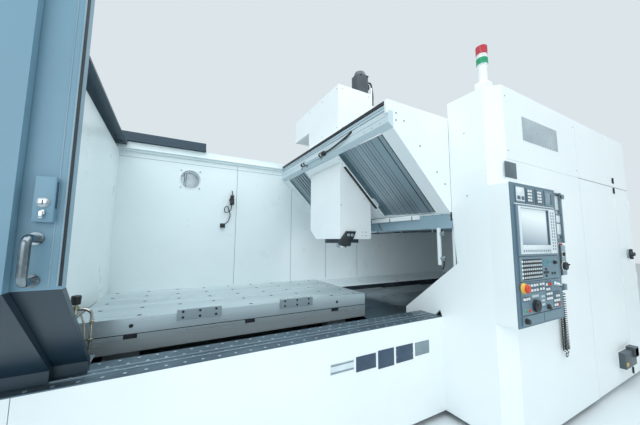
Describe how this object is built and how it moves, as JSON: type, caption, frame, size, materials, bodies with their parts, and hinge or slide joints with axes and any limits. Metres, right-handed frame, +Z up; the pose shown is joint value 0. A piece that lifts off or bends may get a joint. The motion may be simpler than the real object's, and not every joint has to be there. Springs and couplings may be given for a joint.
{
  "type": "machining center",
  "caption": "Large double-column machining center with a sliding table, a bridge with a slatted cover, sliding doors, an operator panel and cabinets.",
  "frame": {"origin": "floor under the middle of the machine's bounding box", "axes": "+X along the table's travel towards the electric cabinet, +Y away from the operator, +Z up"},
  "size_m": [7, 3.29, 3.596],
  "materials": {
    "cover_white": "satin",
    "inner_pale_blue": "satin",
    "door_blue": "satin",
    "sill_blue": "satin",
    "roof_blue": "satin",
    "casting_grey": "painted",
    "ground_steel": "ground",
    "rail_steel": "ground",
    "cover_steel": "satin",
    "slat_steel": "satin",
    "trough_steel": "satin",
    "panel_grey": "satin",
    "screen_glass": "glossy",
    "black_plastic": "matte",
    "cord_black": "matte",
    "motor_black": "satin",
    "stop_red": "glossy",
    "start_green": "glossy",
    "bright_metal": "polished",
    "lamp_white": "glossy",
    "tower_plastic": "glossy",
    "foot_steel": "satin",
    "head_white": "satin"
  },
  "bodies": {
    "base": {"bed": "casting_grey", "levelling_feet": "foot_steel", "guide_rails": "rail_steel", "columns": "casting_grey", "cross_rail": "casting_grey", "chip_trough": "trough_steel", "front_apron": "cover_white", "sill_tread": "sill_blue", "back_wall": "inner_pale_blue", "door_post": "cover_white", "left_end_cover": "inner_pale_blue", "column_cover": "cover_white", "cabinet_body": "cover_white", "rear_column_cover": "cover_white", "right_enclosure": "inner_pale_blue", "bridge_cover": "cover_white", "panel_housing": "panel_grey", "panel_screen": "screen_glass", "hand_pendant": "black_plastic", "pendant_lead": "cord_black", "pendant_coil": "cord_black", "signal_tower": "tower_plastic", "servo_motors": "motor_black", "work_lamp": "lamp_white", "way_cover_ends": "cover_steel"},
    "table": {"table_base": "casting_grey", "table_plate": "ground_steel", "way_cover_table": "cover_steel"},
    "way_outer": {"way_cover_outer": "cover_steel"},
    "way_inner": {"way_cover_inner": "cover_steel"},
    "x_drive": {"x_screw": "rail_steel"},
    "carriage": {"saddle": "casting_grey", "saddle_housing": "head_white", "z_motor": "motor_black"},
    "y_drive": {"y_screw": "rail_steel"},
    "slats_1": {"slat_pair_1": "slat_steel"},
    "slats_2": {"slat_pair_2": "slat_steel"},
    "slats_3": {"slat_pair_3": "slat_steel"},
    "slats_4": {"slat_pair_4": "slat_steel"},
    "slats_5": {"slat_pair_5": "slat_steel"},
    "head": {"spindle_head": "head_white", "coolant_nozzles": "black_plastic"},
    "z_drive": {"z_screw": "rail_steel"},
    "spindle_body": {"spindle": "bright_metal"},
    "door": {"door_inner_leaf": "door_blue", "door_handle": "bright_metal", "door_lock": "black_plastic", "roof_small": "roof_blue"},
    "outer_door": {"door_outer_leaf": "door_blue", "roof_large": "roof_blue"},
    "cabinet_door_body": {"cabinet_door": "cover_white"},
    "breaker_door_body": {"breaker_door": "cover_white"},
    "breaker_handle_body": {"breaker_handle": "panel_grey"},
    "emergency_stop_body": {"emergency_stop": "stop_red"},
    "handwheel_body": {"handwheel": "black_plastic"},
    "override_knob_body": {"override_knob": "black_plastic"},
    "key_switch_body": {"key_switch": "bright_metal"},
    "start_button_body": {"start_button": "start_green"},
    "stop_button_body": {"stop_button": "stop_red"},
    "pendant_dial_body": {"pendant_dial": "black_plastic"}
  },
  "joints": [
    {"name": "table_slide", "type": "slide", "parent": "base", "child": "table", "axis": [1, 0, 0], "range_m": [0, 2.2]},
    {"name": "way_outer_slide", "type": "slide", "parent": "base", "child": "way_outer", "axis": [1, 0, 0], "range_m": [0, 1.46667]},
    {"name": "way_inner_slide", "type": "slide", "parent": "base", "child": "way_inner", "axis": [1, 0, 0], "range_m": [0, 0.73333]},
    {"name": "x_screw_turn", "type": "hinge", "parent": "base", "child": "x_drive", "pos_m": [-2.9, 0.055, 0.725], "axis": [1, 0, 0], "range_deg": [0, 39601]},
    {"name": "carriage_slide", "type": "slide", "parent": "base", "child": "carriage", "axis": [0, 1, 0], "range_m": [-0.5, 0.36]},
    {"name": "y_screw_turn", "type": "hinge", "parent": "base", "child": "y_drive", "pos_m": [0.53, -0.945, 2.26], "axis": [0, 1, 0], "range_deg": [-11251, 8101]},
    {"name": "slats_1_slide", "type": "slide", "parent": "base", "child": "slats_1", "axis": [0, 1, 0], "range_m": [-0.08333, 0.06]},
    {"name": "slats_2_slide", "type": "slide", "parent": "base", "child": "slats_2", "axis": [0, 1, 0], "range_m": [-0.16667, 0.12]},
    {"name": "slats_3_slide", "type": "slide", "parent": "base", "child": "slats_3", "axis": [0, 1, 0], "range_m": [-0.25, 0.18]},
    {"name": "slats_4_slide", "type": "slide", "parent": "base", "child": "slats_4", "axis": [0, 1, 0], "range_m": [-0.33333, 0.24]},
    {"name": "slats_5_slide", "type": "slide", "parent": "base", "child": "slats_5", "axis": [0, 1, 0], "range_m": [-0.41667, 0.3]},
    {"name": "head_slide", "type": "slide", "parent": "carriage", "child": "head", "axis": [0, 0, 1], "range_m": [-0.31, 0.35]},
    {"name": "z_screw_turn", "type": "hinge", "parent": "carriage", "child": "z_drive", "pos_m": [0.4, -0.085, 2.5], "axis": [0, 0, 1], "range_deg": [-11161, 12601]},
    {"name": "spindle_turn", "type": "hinge", "parent": "head", "child": "spindle_body", "pos_m": [0.255, 0.1175, 1.6], "axis": [0, 0, 1], "continuous": true},
    {"name": "door_slide", "type": "slide", "parent": "base", "child": "door", "axis": [1, 0, 0], "range_m": [0, 2.517]},
    {"name": "outer_door_slide", "type": "slide", "parent": "base", "child": "outer_door", "axis": [1, 0, 0], "range_m": [0, 1.2586]},
    {"name": "cabinet_door_hinge", "type": "hinge", "parent": "base", "child": "cabinet_door_body", "pos_m": [3.012, -1.535, 1.1], "axis": [0, 0, 1], "range_deg": [0, 110]},
    {"name": "breaker_door_hinge", "type": "hinge", "parent": "base", "child": "breaker_door_body", "pos_m": [3.497, -1.535, 1.1], "axis": [0, 0, 1], "range_deg": [0, 110]},
    {"name": "breaker_handle_turn", "type": "hinge", "parent": "breaker_door_body", "child": "breaker_handle_body", "pos_m": [3.275, -1.535, 1.381], "axis": [0, 1, 0], "range_deg": [0, 90]},
    {"name": "emergency_stop_push", "type": "slide", "parent": "base", "child": "emergency_stop_body", "axis": [0, 1, 0], "range_m": [0, 0.006], "stiffness_N_per_m": 3000},
    {"name": "handwheel_turn", "type": "hinge", "parent": "base", "child": "handwheel_body", "pos_m": [0.85, -1.595, 1.041], "axis": [0, 1, 0], "continuous": true},
    {"name": "override_knob_turn", "type": "hinge", "parent": "base", "child": "override_knob_body", "pos_m": [1.05, -1.595, 1.013], "axis": [0, 1, 0], "range_deg": [-140, 140]},
    {"name": "key_switch_turn", "type": "hinge", "parent": "base", "child": "key_switch_body", "pos_m": [1.223, -1.595, 1.164], "axis": [0, 1, 0], "range_deg": [0, 90]},
    {"name": "start_button_push", "type": "slide", "parent": "base", "child": "start_button_body", "axis": [0, 1, 0], "range_m": [0, 0.004], "stiffness_N_per_m": 1500},
    {"name": "stop_button_push", "type": "slide", "parent": "base", "child": "stop_button_body", "axis": [0, 1, 0], "range_m": [0, 0.004], "stiffness_N_per_m": 1500},
    {"name": "pendant_dial_turn", "type": "hinge", "parent": "base", "child": "pendant_dial_body", "pos_m": [1.405, -1.593, 1.312], "axis": [0, 1, 0], "continuous": true}
  ],
  "couplings": [
    {"joint": "way_outer_slide", "follows": "table_slide", "ratio": 0.66667},
    {"joint": "way_inner_slide", "follows": "table_slide", "ratio": 0.33333},
    {"joint": "x_screw_turn", "follows": "table_slide", "rad_per_m": 314.16},
    {"joint": "y_screw_turn", "follows": "carriage_slide", "rad_per_m": 392.7},
    {"joint": "z_screw_turn", "follows": "head_slide", "rad_per_m": 628.32},
    {"joint": "outer_door_slide", "follows": "door_slide", "ratio": 0.5},
    {"joint": "slats_1_slide", "follows": "carriage_slide", "ratio": 0.16667},
    {"joint": "slats_2_slide", "follows": "carriage_slide", "ratio": 0.33333},
    {"joint": "slats_3_slide", "follows": "carriage_slide", "ratio": 0.5},
    {"joint": "slats_4_slide", "follows": "carriage_slide", "ratio": 0.66667},
    {"joint": "slats_5_slide", "follows": "carriage_slide", "ratio": 0.83333}
  ]
}
